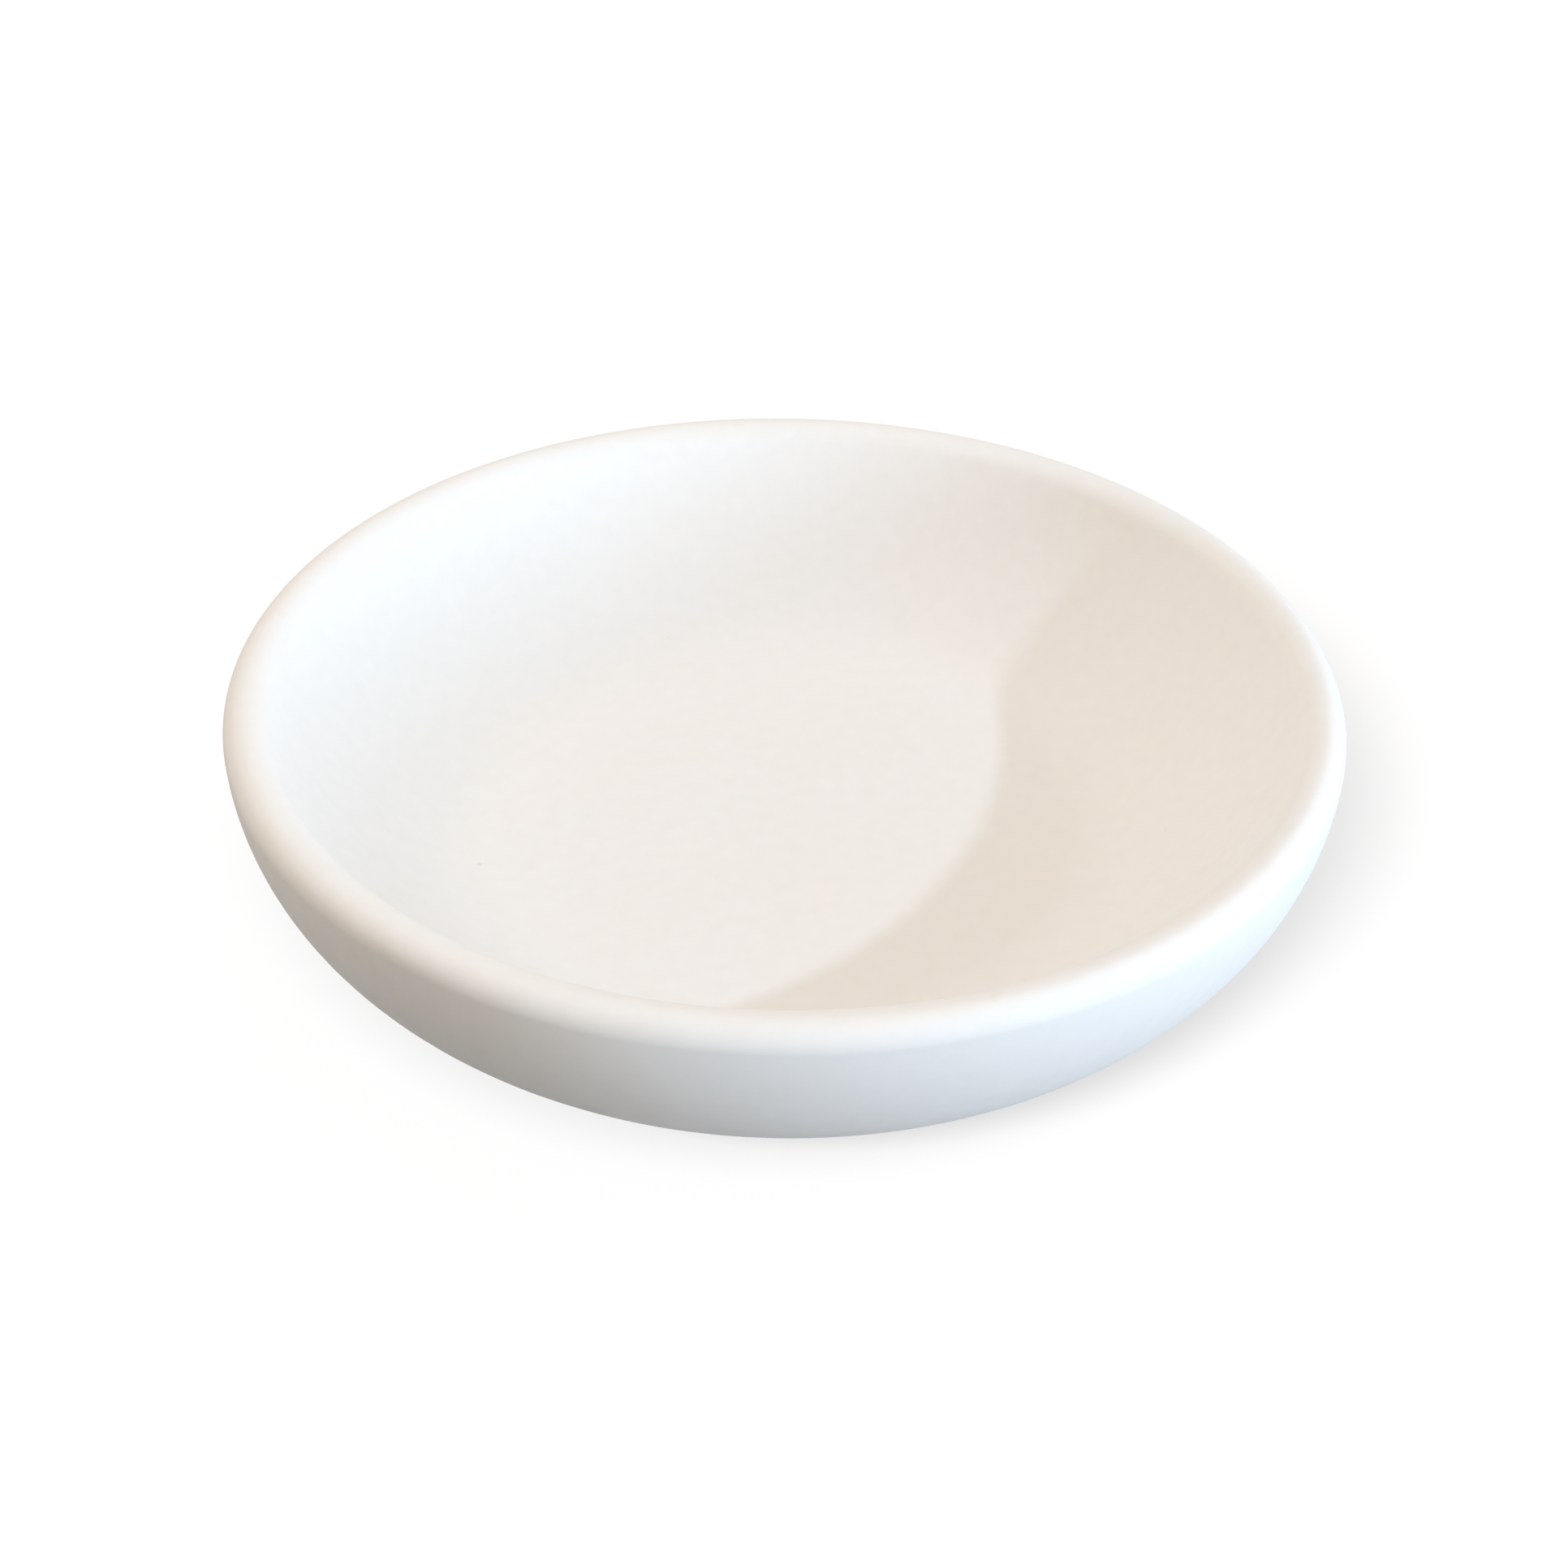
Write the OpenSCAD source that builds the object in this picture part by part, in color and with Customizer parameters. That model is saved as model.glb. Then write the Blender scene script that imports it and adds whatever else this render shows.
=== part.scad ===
/* [Dish] */
// Diameter across the rim, over the glaze
dish_d = 95; // [80:1:130]
// Height from the table to the top of the rim
dish_h = 21.1; // [18:0.1:28]
// Radius of the rim's rounding on the outside, over the glaze
rim_out_r = 1.8; // [1.2:0.1:3]
// Radius of the rim's rounding on the inside, over the glaze
rim_in_r = 2.4; // [0.8:0.1:3.4]

/* [Inside] */
// Thickness of the floor, from the base to the glazed inside
floor_t = 3.5; // [2.5:0.1:6]
// How far the edge of the flat floor stands in from the widest part of the wall
floor_inset = 22; // [20:0.5:26]
// Radius of the curve between the floor and the inside wall
corner_r = 12; // [8:0.5:16]
// Radius of the inside wall's gentler curve up to the rim
inner_wall_r = 35; // [30:1:60]

/* [Foot] */
// How far the foot ring stands in from the widest part of the wall
foot_inset = 13.5; // [10:0.5:14.5]
// Height of the foot ring below the base
foot_h = 1; // [0.6:0.1:2]
// Width of the foot ring
foot_w = 3.2; // [2:0.1:6]
// Radius of the foot ring's rounded edges
foot_edge_r = 0.4; // [0.2:0.05:0.8]

/* [Glaze] */
// Thickness of the glaze
glaze_t = 0.3; // [0.2:0.05:0.6]
// Height of the bare clay between the foot ring and the glaze line
bare_h = 0.6; // [0.2:0.1:2]
// Width of the bare clay left on the base inside the foot ring
base_margin = 0.8; // [0.3:0.1:4]

/* [Hidden] */
$fn = 128;

// Largest angle between two points along a round stretch of an outline
arc_step = 3;
// Largest share of the foot ring's height or width that one rounded edge takes
edge_share = 0.45;

glaze_color = "#f4f2ee";
clay_color = "#e3d8c6";

dish_r = dish_d / 2;
floor_z = foot_h + floor_t;

// Rim: two roundings that meet at the top
rim_top_r = dish_r - rim_out_r;
rim_out_c = [rim_top_r, dish_h - rim_out_r];
rim_in_c = [rim_top_r, dish_h - rim_in_r];

// Foot ring: rounded edges no larger than its sides allow
foot_r = dish_r - foot_inset;
foot_in_r = foot_r - foot_w;
edge_r = min(foot_edge_r, edge_share * foot_h, edge_share * foot_w);

// Outside wall: one curve that leaves the rim upright and ends at the top of the foot ring
wall_rise = rim_out_c.y - foot_h;
wall_curve_r = (pow(foot_inset, 2) + pow(wall_rise, 2)) / (2 * foot_inset);
wall_c = [dish_r - wall_curve_r, rim_out_c.y];

// Inside: a corner leaves the flat floor and runs smoothly into a wall, and that into the rim.
// The wall's centre is found from its distances to the corner's and the rim's centres
corner_c = [dish_r - floor_inset, floor_z + corner_r];
corner_gap = inner_wall_r - corner_r;
rim_gap = inner_wall_r + rim_in_r;
span = norm(rim_in_c - corner_c);
span_dir = (rim_in_c - corner_c) / span;
along_span = (pow(corner_gap, 2) - pow(rim_gap, 2) + pow(span, 2)) / (2 * span);
off_span = sqrt(pow(corner_gap, 2) - pow(along_span, 2));
inner_wall_c = corner_c + along_span * span_dir + off_span * [-span_dir.y, span_dir.x];
corner_end_angle = atan2(corner_c.y - inner_wall_c.y, corner_c.x - inner_wall_c.x);
inner_wall_end_angle = atan2(rim_in_c.y - inner_wall_c.y, rim_in_c.x - inner_wall_c.x);

// Angles on the outside curve where the glaze and then the clay wall end
glaze_end_angle = -asin((wall_rise - bare_h) / wall_curve_r);
clay_end_angle = -acos((foot_r - wall_c.x) / (wall_curve_r - glaze_t));

// Points of an arc about c, from the angle start to the angle end
function arc(c, r, start, end) =
  let (steps = max(2, ceil(abs(end - start) / arc_step)))
  [for (i = [0 : steps])
    let (angle = start + (end - start) * i / steps)
    c + r * [cos(angle), sin(angle)]];

// A list of points without its first one
function after_first(points) = [for (i = [1 : len(points) - 1]) points[i]];

function reversed(points) = [for (i = [len(points) - 1 : -1 : 0]) points[i]];

// The glazed face from the middle of the floor, over the rim and down to the
// glaze line, set into the dish by depth
function glazed_face(depth) = concat(
  [[0, floor_z - depth]],
  arc(corner_c, corner_r + depth, -90, corner_end_angle),
  after_first(arc(inner_wall_c, inner_wall_r + depth, corner_end_angle, inner_wall_end_angle)),
  after_first(arc(rim_in_c, rim_in_r - depth, inner_wall_end_angle + 180, 90)),
  after_first(arc(rim_out_c, rim_out_r - depth, 90, 0)),
  after_first(arc(wall_c, wall_curve_r - depth, 0, glaze_end_angle)));

// The bare clay from the glaze line down to the foot ring
function bare_wall() =
  after_first(arc(wall_c, wall_curve_r - glaze_t, glaze_end_angle, clay_end_angle));

// The foot ring with its rounded edges, and the base inside it
function foot_outline() =
  let (outer_c = [foot_r - edge_r, edge_r])
  let (inner_c = [foot_in_r + edge_r, edge_r])
  let (root_c = [foot_in_r - edge_r, foot_h - edge_r])
  concat(
    arc(outer_c, edge_r, 0, -90),
    arc(inner_c, edge_r, -90, -180),
    arc(root_c, edge_r, 0, 90),
    [[0, foot_h]]);

module clay_body() {
  color(clay_color)
    rotate_extrude()
      polygon(concat(glazed_face(glaze_t), bare_wall(), foot_outline()));
}

module glaze_coat() {
  color(glaze_color)
    rotate_extrude()
      polygon(concat(glazed_face(0), reversed(glazed_face(glaze_t))));
}

module base_glaze() {
  color(glaze_color)
    translate([0, 0, foot_h - glaze_t])
      cylinder(h = glaze_t, r = foot_in_r - edge_r - base_margin);
}

clay_body();
glaze_coat();
base_glaze();
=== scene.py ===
import math

import bmesh
import bpy
from mathutils import Matrix, Vector


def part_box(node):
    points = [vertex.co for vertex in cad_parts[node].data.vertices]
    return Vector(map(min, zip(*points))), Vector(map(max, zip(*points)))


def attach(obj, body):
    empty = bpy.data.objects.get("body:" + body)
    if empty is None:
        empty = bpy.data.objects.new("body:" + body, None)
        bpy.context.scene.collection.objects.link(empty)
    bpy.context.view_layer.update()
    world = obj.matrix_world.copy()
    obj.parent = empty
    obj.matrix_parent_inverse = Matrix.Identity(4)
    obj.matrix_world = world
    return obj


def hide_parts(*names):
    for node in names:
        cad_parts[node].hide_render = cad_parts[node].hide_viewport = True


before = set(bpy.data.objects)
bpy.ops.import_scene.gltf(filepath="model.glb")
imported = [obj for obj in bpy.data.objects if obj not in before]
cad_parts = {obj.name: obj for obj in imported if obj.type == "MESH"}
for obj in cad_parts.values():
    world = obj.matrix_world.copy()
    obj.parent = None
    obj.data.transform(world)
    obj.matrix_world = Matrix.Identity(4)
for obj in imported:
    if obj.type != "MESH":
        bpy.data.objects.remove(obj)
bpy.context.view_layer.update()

MM = 0.001

# Sizes of the dish that the frame's boxes give
DISH_R = min(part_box("glaze_coat")[1].x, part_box("glaze_coat")[1].y)
DISH_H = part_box("glaze_coat")[1].z
GLAZE_T = DISH_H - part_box("clay_body")[1].z
GLAZE_LINE_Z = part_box("glaze_coat")[0].z
FOOT_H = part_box("base_glaze")[1].z
BASE_GLAZE_R = min(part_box("base_glaze")[1].x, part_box("base_glaze")[1].y)

# Sizes of the dish that the boxes don't give, as in the solids
RIM_OUT_R = 1.8 * MM
RIM_IN_R = 2.4 * MM
FLOOR_T = 3.5 * MM
FLOOR_INSET = 22 * MM
CORNER_R = 12 * MM
INNER_WALL_R = 35 * MM
FOOT_INSET = 13.5 * MM
FOOT_W = 3.2 * MM
FOOT_EDGE_R = 0.4 * MM

# How finely the turned meshes are cut, and how near to the axis points become one
TURN_STEPS = 384
FLOOR_RINGS = 14
CORNER_RINGS = 12
INNER_WALL_RINGS = 12
RIM_RINGS = 20
WALL_RINGS = 20
EDGE_RINGS = 6
AXIS_R = 0.01 * MM

# Unevenness from the making, which only takes material away: waves of a count, a phase and a share
WOBBLE = 0.08 * MM
WOBBLE_WAVES = ((2, 0.7, 0.6), (3, 2.1, 0.4))
GLAZE_LINE_RISE = 0.3 * MM
GLAZE_LINE_WAVES = ((3, 0.4, 0.45), (7, 1.9, 0.3), (16, 4.0, 0.25))
BASE_GLAZE_RETREAT = 0.35 * MM
BASE_GLAZE_WAVES = ((4, 2.6, 0.5), (9, 0.3, 0.3), (21, 5.1, 0.2))
TURNING_LINES = 6
TURNING_DEPTH = 0.04 * MM

# Span that most of a noise lies in
NOISE_SPAN = (0.3, 0.7)

# Glaze: its tones
GLAZE_COOL = (0.872, 0.872, 0.862, 1)
GLAZE_WARM = (0.887, 0.862, 0.837, 1)
GLAZE_DULL = (0.84, 0.83, 0.81, 1)
GLAZE_SPECK = (0.42, 0.4, 0.37, 1)

# Glaze: its noises, each with its features to the metre and its detail
GLAZE_DRIFT = (55, 2)
GLAZE_MOTTLE = (420, 3)
GLAZE_GRAIN = (700, 5)
GLAZE_SKIN = (2600, 2)
GLAZE_STREAKS = (1, 3)
STREAK_SCALE = (22, 22, 800)
STREAK_SPAN = (0.5, 0.75)
FACING_SPAN = (0.4, 0.8)

# Glaze: how far each noise moves its tone
DRIFT_SHARE = 0.6
MOTTLE_SHARE = 0.4
GRAIN_SHARE = 0.5
STREAK_SHARE = 0.35

# Glaze: its specks and bumps at their places in millimetres, with their strengths
GLAZE_SPECKS = ((-26.5, -8.3, 4.7, 0.25), (-11.9, 27.9, 5.5, 0.1), (33.4, -6.0, 7.8, 0.1),
                (38.4, 8.6, 12.9, 0.1))
GLAZE_BUMPS = ((-21.6, -20.5, 5.3, 1), (15.1, -43.2, 21.1, 1))
SPECK_R = 0.28 * MM
BUMP_R = 0.6 * MM
SPOT_CORE = 0.4

# Glaze: its pinholes, with their spacing, radius and share of cells, and their strength
PINHOLES = (6 * MM, 0.14 * MM, 0.12)
PINHOLE_STRENGTH = 0.1

# Glaze: its sheen, and its relief, whose parts are weighed against the fine skin
GLAZE_ROUGHNESS = (0.58, 0.72)
GLAZE_SPECULAR = 0.35
BUMP_RELIEF = 6
MOTTLE_RELIEF = 2
STREAK_RELIEF = 3
SPECK_RELIEF = -4
GLAZE_RELIEF_STRENGTH = 0.4
GLAZE_RELIEF = 0.012 * MM

# Clay: its tones
CLAY_PALE = (0.76, 0.69, 0.58, 1)
CLAY_WARM = (0.72, 0.62, 0.49, 1)
CLAY_DARK = (0.6, 0.5, 0.38, 1)
CLAY_GROG = (0.82, 0.77, 0.68, 1)
CLAY_IRON = (0.3, 0.2, 0.12, 1)

# Clay: its noises, and its pale and dark grains with their spacing, radius and share of cells
CLAY_DRIFT = (120, 3)
CLAY_GRAIN = (2200, 4)
DARK_SPAN = (0.45, 0.75)
DARK_SHARE = 0.5
GROG = (1.1 * MM, 0.22 * MM, 0.3)
GROG_STRENGTH = 0.6
IRON = (2.3 * MM, 0.18 * MM, 0.2)
IRON_STRENGTH = 0.7

# Clay: its sheen and relief
CLAY_ROUGHNESS = (0.78, 0.95)
CLAY_SPECULAR = 0.25
GROG_RELIEF = 0.5
CLAY_RELIEF_STRENGTH = 0.6
CLAY_RELIEF = 0.06 * MM

# Floor: a white plane that is seen and keeps a faint shadow, and a pale one that bounces light
FLOOR_HALF = 3.0
FLOOR_GLOW = 0.615
FLOOR_SHADOWED = (0.1, 0.1, 0.1, 1)
BOUNCE_COLOR = (0.2, 0.2, 0.2, 1)
BOUNCE_DROP = 0.1 * MM

# Lamps on the dish: name, azimuth, elevation, distance, width, power and colour
DISH_LAMPS = (
    ("key", -29.9, 30.05, 0.8, 0.026, 2.2, (0.52, 0.747, 1.0)),
    ("low_fill", -35, 5, 0.6, 0.2, 2.36, (0.68, 0.822, 1.0)),
    ("back_fill", 120, 50, 0.8, 0.5, 1.0, (0.8, 0.89, 1.0)),
    ("left_fill", 180, 60, 0.8, 0.5, 1.11, (1.0, 0.73, 0.595)),
)

# Even lamps on the floor alone: azimuth, elevation, width in degrees and strength
FLOOR_LAMPS = ((-120, 40, 18, 8.8), (-90, 50, 36, 6.5))
FLOOR_LAMP_DISTANCE = 1

# Even light from all round
SURROUND_COLOR = (1.0, 0.92, 0.8, 1)
SURROUND_STRENGTH = 0.65
WHITE = (1, 1, 1, 1)

# Camera that matches the photograph, which is PHOTO_SIZE pixels square
PHOTO_SIZE = 1932
FOCAL_PX = 2600
SENSOR_MM = 36
CAMERA_POS = Vector((0, -152.96, 118.92)) * MM
CAMERA_PITCH = math.radians(36.0)
CAMERA_ROLL = math.radians(0.8)
CAMERA_CLIP = 0.01


def ripple(turn, waves):
    """A smooth closed wave round the dish, between 0 and 1."""
    total = sum(share * math.sin(count * turn + phase) for count, phase, share in waves)
    return 0.5 + 0.5 * total


def arc(centre, radius, start, end, steps):
    """Points of an arc in the radius and height plane."""
    angles = [start + (end - start) * i / steps for i in range(steps + 1)]
    return [(centre[0] + radius * math.cos(a), centre[1] + radius * math.sin(a)) for a in angles]


def meeting_point(first, first_gap, second, second_gap):
    """The point at the given distances from two others, on the left of the line between them."""
    span = math.dist(first, second)
    ux, uy = (second[0] - first[0]) / span, (second[1] - first[1]) / span
    along = (first_gap ** 2 - second_gap ** 2 + span ** 2) / (2 * span)
    off = math.sqrt(first_gap ** 2 - along ** 2)
    return (first[0] + along * ux - off * uy, first[1] + along * uy + off * ux)


def direction(start, end):
    """The angle of the line from one point to another."""
    return math.atan2(end[1] - start[1], end[0] - start[0])


class Section:
    """Centres, radii and angles of the curves in the dish's cross-section."""

    rim_out_c = (DISH_R - RIM_OUT_R, DISH_H - RIM_OUT_R)
    rim_in_c = (DISH_R - RIM_OUT_R, DISH_H - RIM_IN_R)
    floor_z = FOOT_H + FLOOR_T
    corner_c = (DISH_R - FLOOR_INSET, floor_z + CORNER_R)
    inner_wall_c = meeting_point(corner_c, INNER_WALL_R - CORNER_R, rim_in_c, INNER_WALL_R + RIM_IN_R)
    corner_end = direction(inner_wall_c, corner_c)
    inner_wall_end = direction(inner_wall_c, rim_in_c)
    rise = rim_out_c[1] - FOOT_H
    wall_r = (FOOT_INSET ** 2 + rise ** 2) / (2 * FOOT_INSET)
    wall_c = (DISH_R - wall_r, rim_out_c[1])
    glaze_end = -math.asin((wall_c[1] - GLAZE_LINE_Z) / wall_r)
    foot_r = DISH_R - FOOT_INSET
    foot_in_r = foot_r - FOOT_W
    clay_end = -math.acos((foot_r - wall_c[0]) / (wall_r - GLAZE_T))


def glazed_face(depth, wall_end):
    """The glazed face from the floor's middle over the rim and down the wall, set in by depth."""
    s = Section
    inner_wall_r = INNER_WALL_R + depth
    floor = [(s.corner_c[0] * i / FLOOR_RINGS, s.floor_z - depth) for i in range(FLOOR_RINGS)]
    corner = arc(s.corner_c, CORNER_R + depth, -math.pi / 2, s.corner_end, CORNER_RINGS)
    inner_wall = arc(s.inner_wall_c, inner_wall_r, s.corner_end, s.inner_wall_end, INNER_WALL_RINGS)[1:]
    rim_in = arc(s.rim_in_c, RIM_IN_R - depth, s.inner_wall_end + math.pi, math.pi / 2, RIM_RINGS)[1:]
    rim_out = arc(s.rim_out_c, RIM_OUT_R - depth, math.pi / 2, 0, RIM_RINGS)[1:]
    wall = arc(s.wall_c, s.wall_r - depth, 0, wall_end, WALL_RINGS)[1:]
    return floor + corner + inner_wall + rim_in + rim_out + wall


def glaze_outline(turn):
    """The glaze's section: its face, a rounded lower edge and its back on the clay."""
    s = Section
    bead_r = GLAZE_T / 2
    lift = bead_r + GLAZE_LINE_RISE * ripple(turn, GLAZE_LINE_WAVES)
    wall_end = s.glaze_end + lift / s.wall_r
    mid_r = s.wall_r - bead_r
    bead_c = (s.wall_c[0] + mid_r * math.cos(wall_end), s.wall_c[1] + mid_r * math.sin(wall_end))
    bead = arc(bead_c, bead_r, wall_end, wall_end - math.pi, EDGE_RINGS)[1:-1]
    return glazed_face(0, wall_end) + bead + list(reversed(glazed_face(GLAZE_T, wall_end)))


def clay_outline(turn):
    """The clay's section, the same at each turn: under the glaze, bare wall, foot ring and base."""
    s = Section
    bare = arc(s.wall_c, s.wall_r - GLAZE_T, s.glaze_end, s.clay_end, EDGE_RINGS)[1:]
    edge = FOOT_EDGE_R
    outer = arc((s.foot_r - edge, edge), edge, 0, -math.pi / 2, EDGE_RINGS)
    inner = arc((s.foot_in_r + edge, edge), edge, -math.pi / 2, -math.pi, EDGE_RINGS)
    root = arc((s.foot_in_r - edge, FOOT_H - edge), edge, 0, math.pi / 2, EDGE_RINGS)
    ring = turning_lines(outer[-1][0], inner[0][0])
    return glazed_face(GLAZE_T, s.glaze_end) + bare + outer + ring + inner + root + [(0, FOOT_H)]


def turning_lines(start, end):
    """Shallow grooves under the foot ring, with flat lands between them."""
    step = (end - start) / TURNING_LINES
    grooves = [(start + step * (i + 0.5), TURNING_DEPTH) for i in range(TURNING_LINES)]
    lands = [(start + step * i, 0) for i in range(1, TURNING_LINES)]
    return [grooves[0]] + [point for pair in zip(lands, grooves[1:]) for point in pair]


def base_outline(turn):
    """The glaze on the base inside the foot ring: a thin disc with a rounded edge."""
    radius = BASE_GLAZE_R - BASE_GLAZE_RETREAT * ripple(turn, BASE_GLAZE_WAVES)
    low = FOOT_H - GLAZE_T
    edge = arc((radius - GLAZE_T, FOOT_H), GLAZE_T, 0, -math.pi / 2, EDGE_RINGS)
    rings = [(edge[-1][0] * (FLOOR_RINGS - i) / FLOOR_RINGS, low) for i in range(1, FLOOR_RINGS + 1)]
    return [(0, FOOT_H)] + edge + rings


def turned_columns(bm, outline_at):
    """Columns of points round Z, each drawn in a little by the wobble; points on the axis are shared."""
    columns = []
    for k in range(TURN_STEPS):
        turn = 2 * math.pi * k / TURN_STEPS
        squeeze = 1 - WOBBLE / DISH_R * ripple(turn, WOBBLE_WAVES)
        column = []
        for i, (radius, height) in enumerate(outline_at(turn)):
            if radius < AXIS_R and columns:
                column.append(columns[0][i])
                continue
            radius, height = radius * squeeze, height * squeeze
            column.append(bm.verts.new((radius * math.cos(turn), radius * math.sin(turn), height)))
        columns.append(column)
    return columns


def lathe(name, outline_at):
    """A closed mesh turned about Z; outline_at gives the section at each angle."""
    bm = bmesh.new()
    columns = turned_columns(bm, outline_at)
    for k, here in enumerate(columns):
        there = columns[(k + 1) % TURN_STEPS]
        for i in range(len(here) - 1):
            corners = dict.fromkeys((here[i], there[i], there[i + 1], here[i + 1]))
            if len(corners) > 2:
                bm.faces.new(corners)
    bmesh.ops.recalc_face_normals(bm, faces=bm.faces)
    mesh = bpy.data.meshes.new(name)
    bm.to_mesh(mesh)
    bm.free()
    mesh.polygons.foreach_set("use_smooth", [True] * len(mesh.polygons))
    piece = bpy.data.objects.new(name, mesh)
    bpy.context.scene.collection.objects.link(piece)
    return piece


def make_piece(name, outline_at, node, material):
    piece = lathe(name, outline_at)
    piece.data.materials.append(material)
    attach(piece, "root")
    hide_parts(node)
    return piece


def add_node(tree, kind, inputs, **settings):
    """A shader node; each input is given a value, or a socket to be linked to it."""
    node = tree.nodes.new("ShaderNode" + kind)
    for name, value in settings.items():
        setattr(node, name, value)
    for name, value in inputs.items():
        if isinstance(value, bpy.types.NodeSocket):
            tree.links.new(value, node.inputs[name])
        else:
            node.inputs[name].default_value = value
    return node


def new_material(name):
    material = bpy.data.materials.new(name)
    material.use_nodes = True
    return material, material.node_tree, material.node_tree.nodes["Principled BSDF"]


def clouds(tree, place, noise):
    """Soft noise between 0 and 1, of the given features to the metre and detail."""
    scale, detail = noise
    return add_node(tree, "TexNoise", {"Vector": place, "Scale": scale, "Detail": detail}).outputs["Fac"]


def remap(tree, value, old, new):
    """A value taken from the range old to the range new, held at its ends."""
    inputs = {"Value": value, "From Min": old[0], "From Max": old[1], "To Min": new[0], "To Max": new[1]}
    return add_node(tree, "MapRange", inputs).outputs["Result"]


def calculate(tree, operation, first, second):
    return add_node(tree, "Math", {0: first, 1: second}, operation=operation).outputs[0]


def measure(tree, operation, first, second):
    """A number worked out from two vectors."""
    return add_node(tree, "VectorMath", {0: first, 1: second}, operation=operation).outputs["Value"]


def weighted_sum(tree, pairs):
    """The sum of each value times its weight."""
    total = 0
    for value, weight in pairs:
        total = calculate(tree, "ADD", total, calculate(tree, "MULTIPLY", value, weight))
    return total


def blend_colors(tree, share, first, second):
    inputs = {"Factor": share, 6: first, 7: second}
    return add_node(tree, "Mix", inputs, data_type="RGBA").outputs[2]


def add_relief(tree, shader, height, strength, distance):
    """Bump of the given height on a shader."""
    bump = add_node(tree, "Bump", {"Height": height, "Strength": strength, "Distance": distance})
    tree.links.new(bump.outputs["Normal"], shader.inputs["Normal"])


def spots(tree, place, centres, radius):
    """Small round spots of the given strengths about the centres, and 0 elsewhere."""
    total = 0
    for x, y, z, strength in centres:
        away = measure(tree, "DISTANCE", place, Vector((x, y, z)) * MM)
        spot = remap(tree, away, (radius * SPOT_CORE, radius), (strength, 0))
        total = calculate(tree, "MAXIMUM", total, spot)
    return total


def strewn_specks(tree, place, spacing, radius, share):
    """1 within specks strewn over a share of cells of the given spacing."""
    cells = add_node(tree, "TexVoronoi", {"Vector": place, "Scale": 1 / spacing})
    draw = add_node(tree, "SeparateColor", {"Color": cells.outputs["Color"]}).outputs["Red"]
    chosen = calculate(tree, "LESS_THAN", draw, share)
    size = radius / spacing
    dot = remap(tree, cells.outputs["Distance"], (size * SPOT_CORE, size), (1, 0))
    return calculate(tree, "MULTIPLY", dot, chosen)


def facing_out(tree, place):
    """1 where the dish faces away from its axis, and 0 where it faces up or inward."""
    level = add_node(tree, "VectorMath", {0: place, 1: (1, 1, 0)}, operation="MULTIPLY").outputs["Vector"]
    outward = add_node(tree, "VectorMath", {0: level}, operation="NORMALIZE").outputs["Vector"]
    normal = add_node(tree, "NewGeometry", {}).outputs["Normal"]
    return remap(tree, measure(tree, "DOT_PRODUCT", outward, normal), FACING_SPAN, (0, 1))


def glaze_material():
    """Satin white glaze: drifting tone, fine grain, faint streaks, pinholes and a fine skin."""
    material, tree, shader = new_material("satin_white_glaze")
    place = add_node(tree, "TexCoord", {}).outputs["Object"]
    flat = add_node(tree, "Mapping", {"Vector": place, "Scale": STREAK_SCALE}).outputs["Vector"]
    drift = clouds(tree, place, GLAZE_DRIFT)
    mottle = clouds(tree, place, GLAZE_MOTTLE)
    streaks = calculate(tree, "MULTIPLY", clouds(tree, flat, GLAZE_STREAKS), facing_out(tree, place))
    grain = clouds(tree, place, GLAZE_GRAIN)
    skin = clouds(tree, place, GLAZE_SKIN)
    pinholes = calculate(tree, "MULTIPLY", strewn_specks(tree, place, *PINHOLES), PINHOLE_STRENGTH)
    specks = calculate(tree, "MAXIMUM", spots(tree, place, GLAZE_SPECKS, SPECK_R), pinholes)
    bumps = spots(tree, place, GLAZE_BUMPS, BUMP_R)

    tone = calculate(tree, "ADD", remap(tree, drift, NOISE_SPAN, (0, DRIFT_SHARE)),
                     remap(tree, mottle, NOISE_SPAN, (0, MOTTLE_SHARE)))
    color = blend_colors(tree, tone, GLAZE_COOL, GLAZE_WARM)
    color = blend_colors(tree, remap(tree, grain, NOISE_SPAN, (0, GRAIN_SHARE)), color, GLAZE_DULL)
    color = blend_colors(tree, remap(tree, streaks, STREAK_SPAN, (0, STREAK_SHARE)), color, GLAZE_DULL)
    color = blend_colors(tree, specks, color, GLAZE_SPECK)
    tree.links.new(color, shader.inputs["Base Color"])

    tree.links.new(remap(tree, mottle, NOISE_SPAN, GLAZE_ROUGHNESS), shader.inputs["Roughness"])
    shader.inputs["Specular IOR Level"].default_value = GLAZE_SPECULAR

    relief = ((bumps, BUMP_RELIEF), (skin, 1), (mottle, MOTTLE_RELIEF), (streaks, STREAK_RELIEF),
              (specks, SPECK_RELIEF))
    add_relief(tree, shader, weighted_sum(tree, relief), GLAZE_RELIEF_STRENGTH, GLAZE_RELIEF)
    return material


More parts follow.
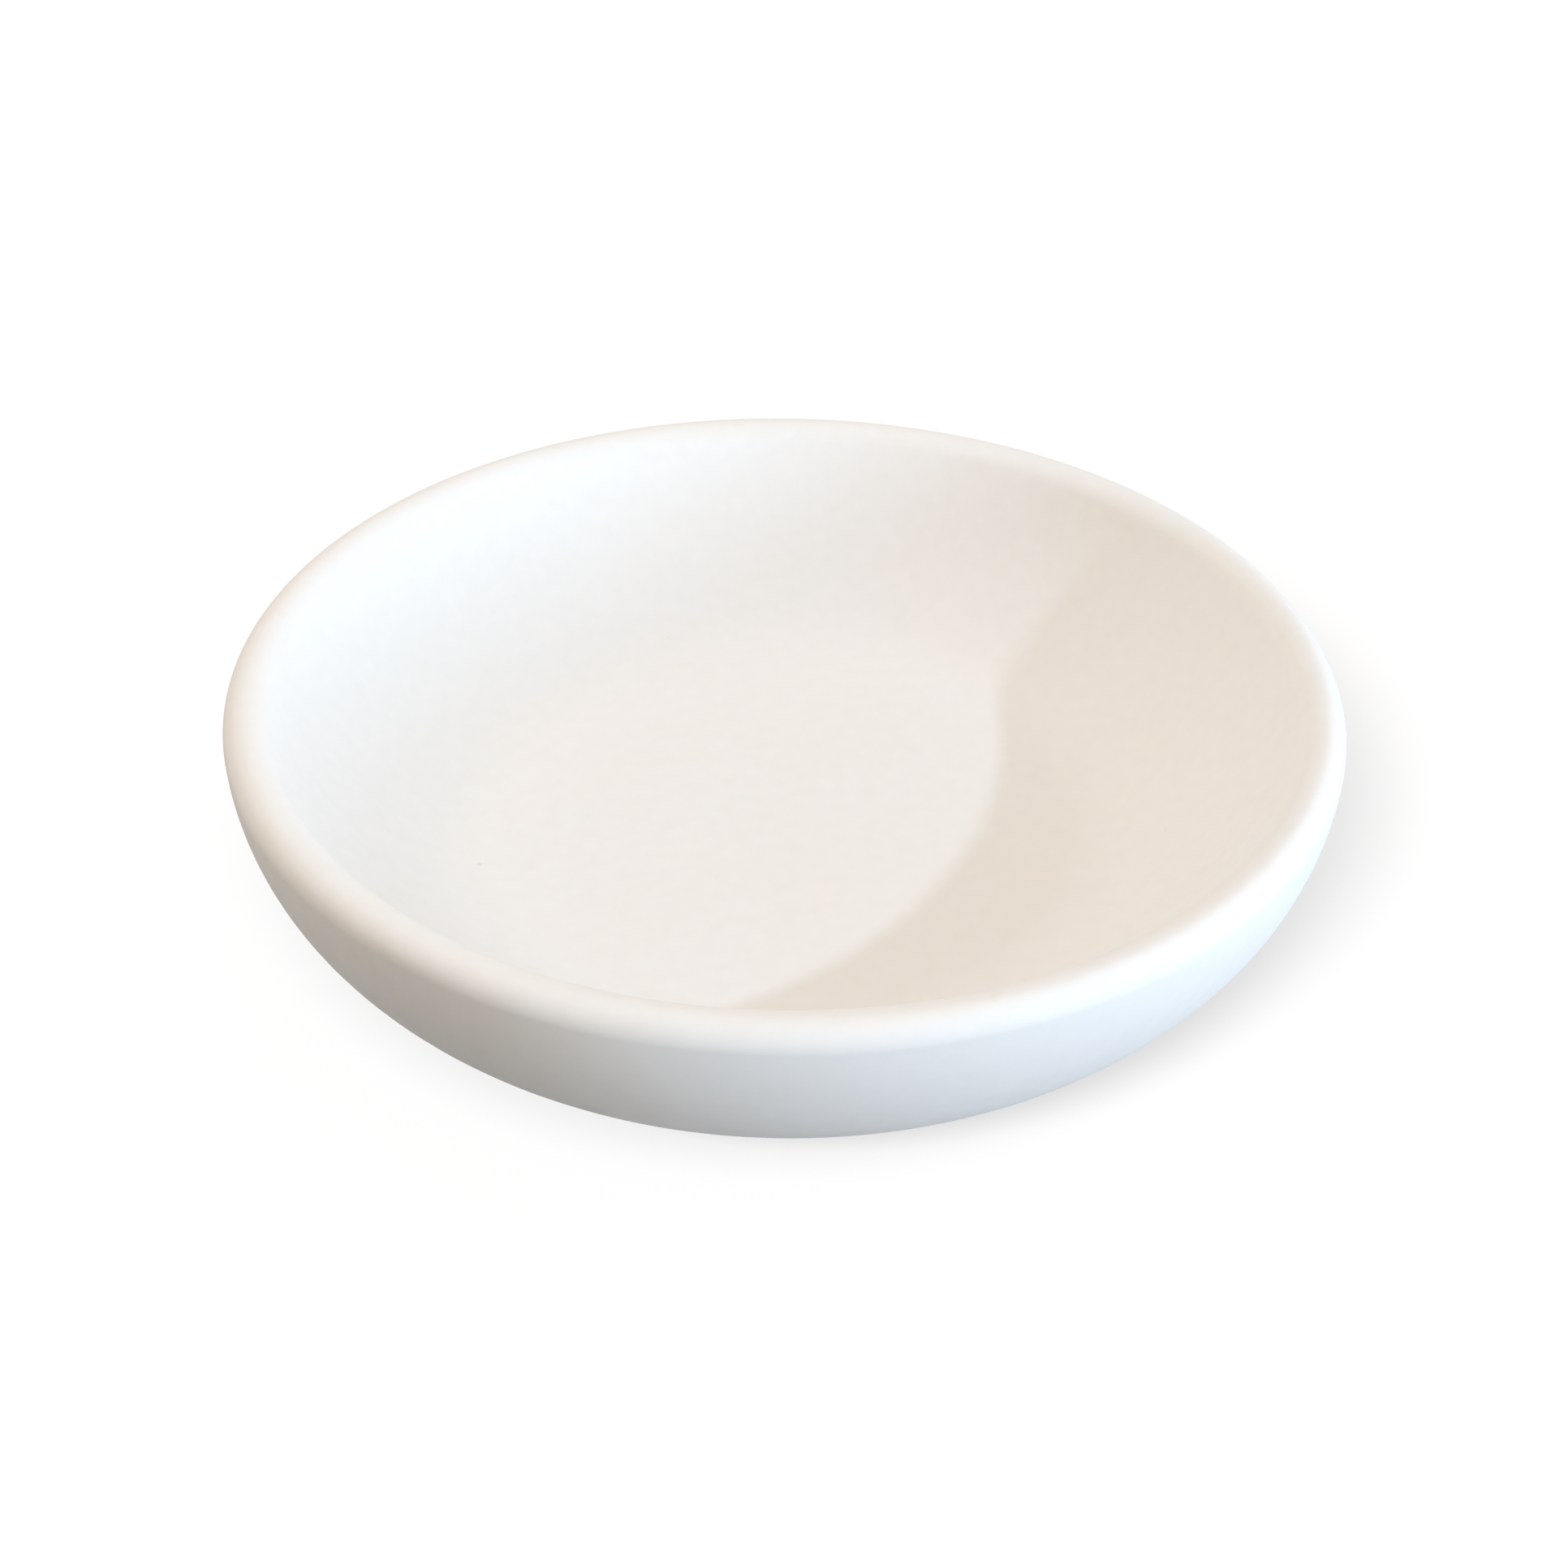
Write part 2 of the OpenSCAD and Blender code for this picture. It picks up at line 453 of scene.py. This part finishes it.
def clay_material():
    """Bare fired clay: grains of two tones, iron specks and a rough, sanded face."""
    material, tree, shader = new_material("bare_clay")
    place = add_node(tree, "TexCoord", {}).outputs["Object"]
    drift = clouds(tree, place, CLAY_DRIFT)
    grain = clouds(tree, place, CLAY_GRAIN)
    grog = strewn_specks(tree, place, *GROG)
    iron = strewn_specks(tree, place, *IRON)

    color = blend_colors(tree, remap(tree, drift, NOISE_SPAN, (0, 1)), CLAY_PALE, CLAY_WARM)
    color = blend_colors(tree, remap(tree, grain, DARK_SPAN, (0, DARK_SHARE)), color, CLAY_DARK)
    color = blend_colors(tree, calculate(tree, "MULTIPLY", grog, GROG_STRENGTH), color, CLAY_GROG)
    color = blend_colors(tree, calculate(tree, "MULTIPLY", iron, IRON_STRENGTH), color, CLAY_IRON)
    tree.links.new(color, shader.inputs["Base Color"])

    tree.links.new(remap(tree, grain, NOISE_SPAN, CLAY_ROUGHNESS), shader.inputs["Roughness"])
    shader.inputs["Specular IOR Level"].default_value = CLAY_SPECULAR

    height = weighted_sum(tree, ((grain, 1), (grog, GROG_RELIEF)))
    add_relief(tree, shader, height, CLAY_RELIEF_STRENGTH, CLAY_RELIEF)
    return material


def make_plane(name, height):
    half = FLOOR_HALF
    corners = [(x, y, height) for x, y in ((-half, -half), (half, -half), (half, half), (-half, half))]
    mesh = bpy.data.meshes.new(name)
    mesh.from_pydata(corners, [], [(0, 1, 2, 3)])
    plane = bpy.data.objects.new(name, mesh)
    bpy.context.scene.collection.objects.link(plane)
    return plane


def make_floor():
    """The floor that is seen: it looks white and keeps a faint shadow."""
    floor = make_plane("floor", 0)
    floor.visible_diffuse = False
    floor.visible_shadow = False
    material, tree, shader = new_material("white_floor")
    tree.nodes.remove(shader)
    glow = add_node(tree, "Emission", {"Strength": FLOOR_GLOW})
    pale = add_node(tree, "BsdfDiffuse", {"Color": FLOOR_SHADOWED})
    white = add_node(tree, "AddShader", {0: glow.outputs[0], 1: pale.outputs[0]})
    tree.links.new(white.outputs[0], tree.nodes["Material Output"].inputs["Surface"])
    floor.data.materials.append(material)
    return floor


def make_bounce():
    """A plane just under the floor that isn't seen and only throws light up on the dish."""
    plane = make_plane("bounce", -BOUNCE_DROP)
    plane.visible_camera = False
    plane.visible_glossy = False
    plane.visible_transmission = False
    material, tree, shader = new_material("pale_bounce")
    shader.inputs["Base Color"].default_value = BOUNCE_COLOR
    shader.inputs["Roughness"].default_value = 1
    shader.inputs["Specular IOR Level"].default_value = 0
    plane.data.materials.append(material)
    return plane


def lit_group(name, members):
    """A collection that holds what one set of lamps lights."""
    group = bpy.data.collections.new(name)
    for member in members:
        group.objects.link(member)
    return group


def place_lamp(data, azimuth, elevation, distance, lit):
    """Set a lamp at a distance from the dish, facing it, to light one group."""
    lamp = bpy.data.objects.new(data.name, data)
    a, e = math.radians(azimuth), math.radians(elevation)
    away = Vector((math.cos(a) * math.cos(e), math.sin(a) * math.cos(e), math.sin(e)))
    lamp.location = away * distance
    lamp.rotation_euler = away.to_track_quat("Z", "Y").to_euler()
    lamp.light_linking.receiver_collection = lit
    bpy.context.scene.collection.objects.link(lamp)


def add_lamp(name, azimuth, elevation, distance, width, power, color, lit):
    """A round soft lamp."""
    data = bpy.data.lights.new(name, "AREA")
    data.shape = "DISK"
    data.size = width
    data.energy = power
    data.color = color
    place_lamp(data, azimuth, elevation, distance, lit)


def add_floor_lamp(azimuth, elevation, width, strength, lit):
    """Even, soft light that gives the floor its shadow."""
    data = bpy.data.lights.new("floor_lamp", "SUN")
    data.angle = math.radians(width)
    data.energy = strength
    place_lamp(data, azimuth, elevation, FLOOR_LAMP_DISTANCE, lit)


def seen_rays(tree):
    """1 on rays from the camera, in reflections and through clear things, else 0."""
    path = add_node(tree, "LightPath", {}).outputs
    seen = calculate(tree, "MAXIMUM", path["Is Camera Ray"], path["Is Glossy Ray"])
    return calculate(tree, "MAXIMUM", seen, path["Is Transmission Ray"])


def make_surround():
    """A warm even light from all round, which looks white."""
    world = bpy.data.worlds.new("surround")
    bpy.context.scene.world = world
    world.use_nodes = True
    tree = world.node_tree
    warm = tree.nodes["Background"]
    warm.inputs["Color"].default_value = SURROUND_COLOR
    warm.inputs["Strength"].default_value = SURROUND_STRENGTH
    white = add_node(tree, "Background", {"Color": WHITE})
    mix = add_node(tree, "MixShader", {0: seen_rays(tree), 1: warm.outputs[0], 2: white.outputs[0]})
    tree.links.new(mix.outputs[0], tree.nodes["World Output"].inputs["Surface"])


def light_scene(pieces, floor, bounce):
    """A cool key that throws the rim's shadow, soft fills, floor lamps and an even surround."""
    dish = lit_group("lit_dish", pieces + [bounce])
    for settings in DISH_LAMPS:
        add_lamp(*settings, dish)
    ground = lit_group("lit_floor", [floor])
    for settings in FLOOR_LAMPS:
        add_floor_lamp(*settings, ground)
    make_surround()


def make_camera():
    data = bpy.data.cameras.new("camera")
    data.sensor_width = SENSOR_MM
    data.lens = FOCAL_PX / PHOTO_SIZE * SENSOR_MM
    data.clip_start = CAMERA_CLIP
    camera = bpy.data.objects.new("camera", data)
    tilt = Matrix.Rotation(math.pi / 2 - CAMERA_PITCH, 4, "X")
    camera.matrix_world = Matrix.Translation(CAMERA_POS) @ tilt @ Matrix.Rotation(CAMERA_ROLL, 4, "Z")
    bpy.context.scene.collection.objects.link(camera)
    bpy.context.scene.camera = camera


bpy.context.scene.view_settings.view_transform = "Standard"
make_camera()
glaze = glaze_material()
clay = clay_material()
pieces = [
    make_piece("white_glaze", glaze_outline, "glaze_coat", glaze),
    make_piece("bare_clay_foot", clay_outline, "clay_body", clay),
    make_piece("base_glaze_disc", base_outline, "base_glaze", glaze),
]
light_scene(pieces, make_floor(), make_bounce())
